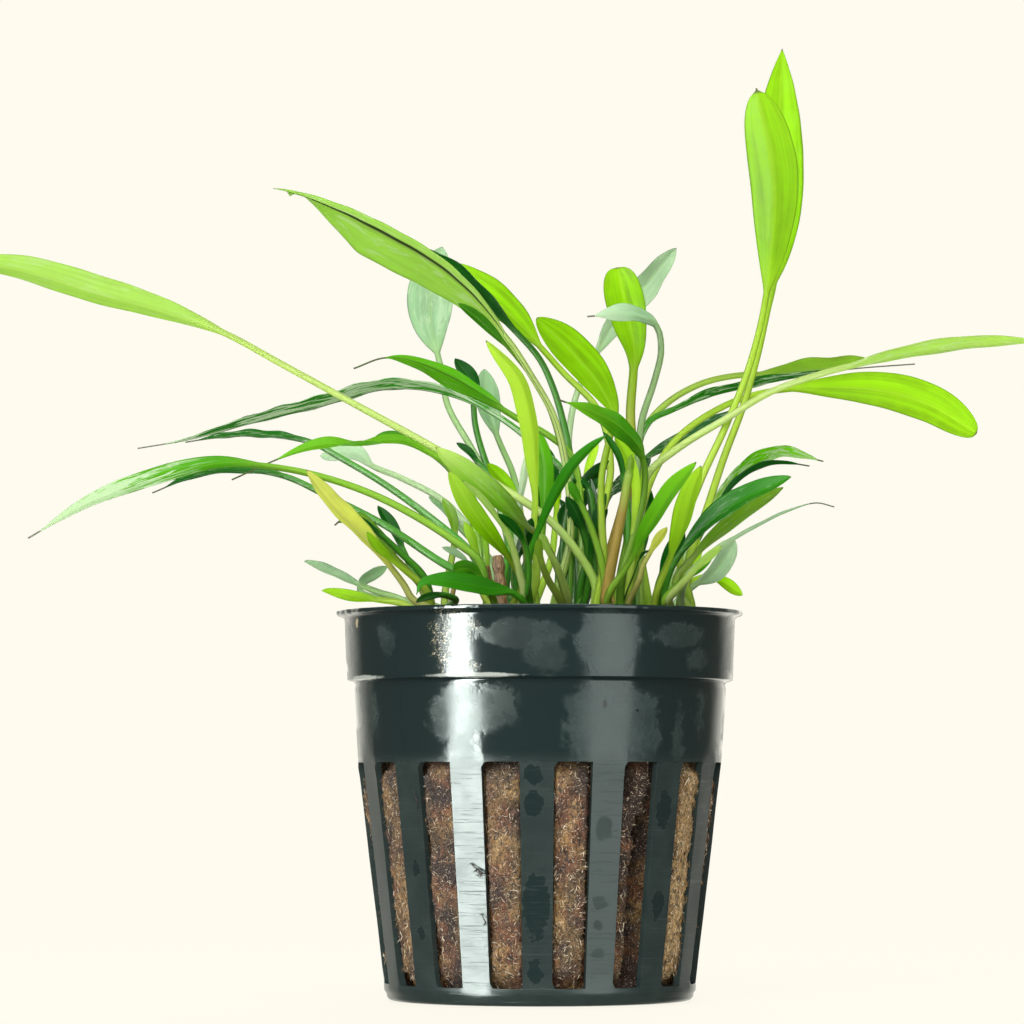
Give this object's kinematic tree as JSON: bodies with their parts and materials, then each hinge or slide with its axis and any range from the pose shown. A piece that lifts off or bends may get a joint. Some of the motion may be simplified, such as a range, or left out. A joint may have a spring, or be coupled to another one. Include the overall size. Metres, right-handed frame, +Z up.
{
  "type": "potted cryptocoryne",
  "caption": "Aquarium plant with long arching green leaves, rooted in rock wool in a slotted net pot.",
  "frame": {"origin": "centre of the net pot's flat underside, which the pot stands on", "axes": "+Z up along the pot's axis; the side that the picture shows faces -Y, with +X to its right"},
  "size_m": [0.1391, 0.0662, 0.126],
  "materials": {
    "plastic": "glossy, wet in patches",
    "wool": "matt mineral fibre",
    "rhizome": "rough and fibrous",
    "leaf_lime": "waxy, lets light through",
    "leaf_green": "waxy, lets light through",
    "leaf_dark": "waxy and glossy",
    "leaf_soft": "matt underside, lets light through",
    "leaf_pale": "matt and pale",
    "leaf_olive": "dull, ageing",
    "leaf_yellow": "dull, an old leaf"
  },
  "bodies": {
    "root": {"net_pot": "plastic", "rock_wool": "wool", "crown_left": "rhizome", "crown_front": "rhizome", "crown_back": "rhizome", "crown_middle": "rhizome", "crown_right_front": "rhizome", "crown_right_back": "rhizome", "crown_right_edge": "rhizome", "leaf_high_left_broad": "leaf_soft", "leaf_high_left_dark": "leaf_dark", "leaf_long_left_arch": "leaf_dark", "leaf_left_arch_green": "leaf_green", "leaf_back_right_grey": "leaf_pale", "leaf_left_broad_soft": "leaf_soft", "leaf_right_spoon": "leaf_lime", "leaf_right_lime_broad": "leaf_lime", "leaf_right_front_blade": "leaf_green", "leaf_front_dark_arch": "leaf_green", "leaf_inner_hook": "leaf_dark", "leaf_inner_lime": "leaf_lime", "leaf_second_left_high": "leaf_lime", "leaf_pale_in_front": "leaf_pale", "leaf_long_left_lime": "leaf_soft", "leaf_right_arch_olive": "leaf_olive", "leaf_far_right_long": "leaf_soft", "leaf_right_lime_droop": "leaf_lime", "leaf_right_dark_arch": "leaf_dark", "leaf_right_wet_dark": "leaf_dark", "leaf_tall_behind": "leaf_lime", "leaf_tall_in_front": "leaf_lime", "leaf_right_thick_dark": "leaf_dark", "leaf_right_olive_tip": "leaf_olive", "leaf_right_curl": "leaf_green", "leaf_right_thread": "leaf_pale", "leaf_right_low_pale": "leaf_pale", "leaf_right_low_lime": "leaf_lime", "leaf_right_lime_blade": "leaf_lime", "leaf_front_left_olive": "leaf_lime", "leaf_left_low_long": "leaf_green", "leaf_left_low_dark": "leaf_dark", "leaf_left_mid_thin": "leaf_dark", "leaf_front_small_round": "leaf_green", "leaf_rim_hook": "leaf_dark", "leaf_left_undulating": "leaf_green", "leaf_centre_lime": "leaf_lime", "leaf_centre_crossing": "leaf_dark", "leaf_back_spoon_pale": "leaf_pale", "leaf_back_blue": "leaf_pale", "leaf_back_dark_tip": "leaf_dark", "leaf_back_dark_small": "leaf_dark", "leaf_back_left_pale": "leaf_pale", "leaf_back_lime": "leaf_lime", "leaf_left_yellow": "leaf_yellow", "leaf_left_yellow_inner": "leaf_olive", "leaf_left_short_green": "leaf_dark", "leaf_left_low_grey": "leaf_pale", "leaf_left_rim_lime": "leaf_lime", "leaf_left_pale_upright": "leaf_pale"}
  },
  "joints": []
}
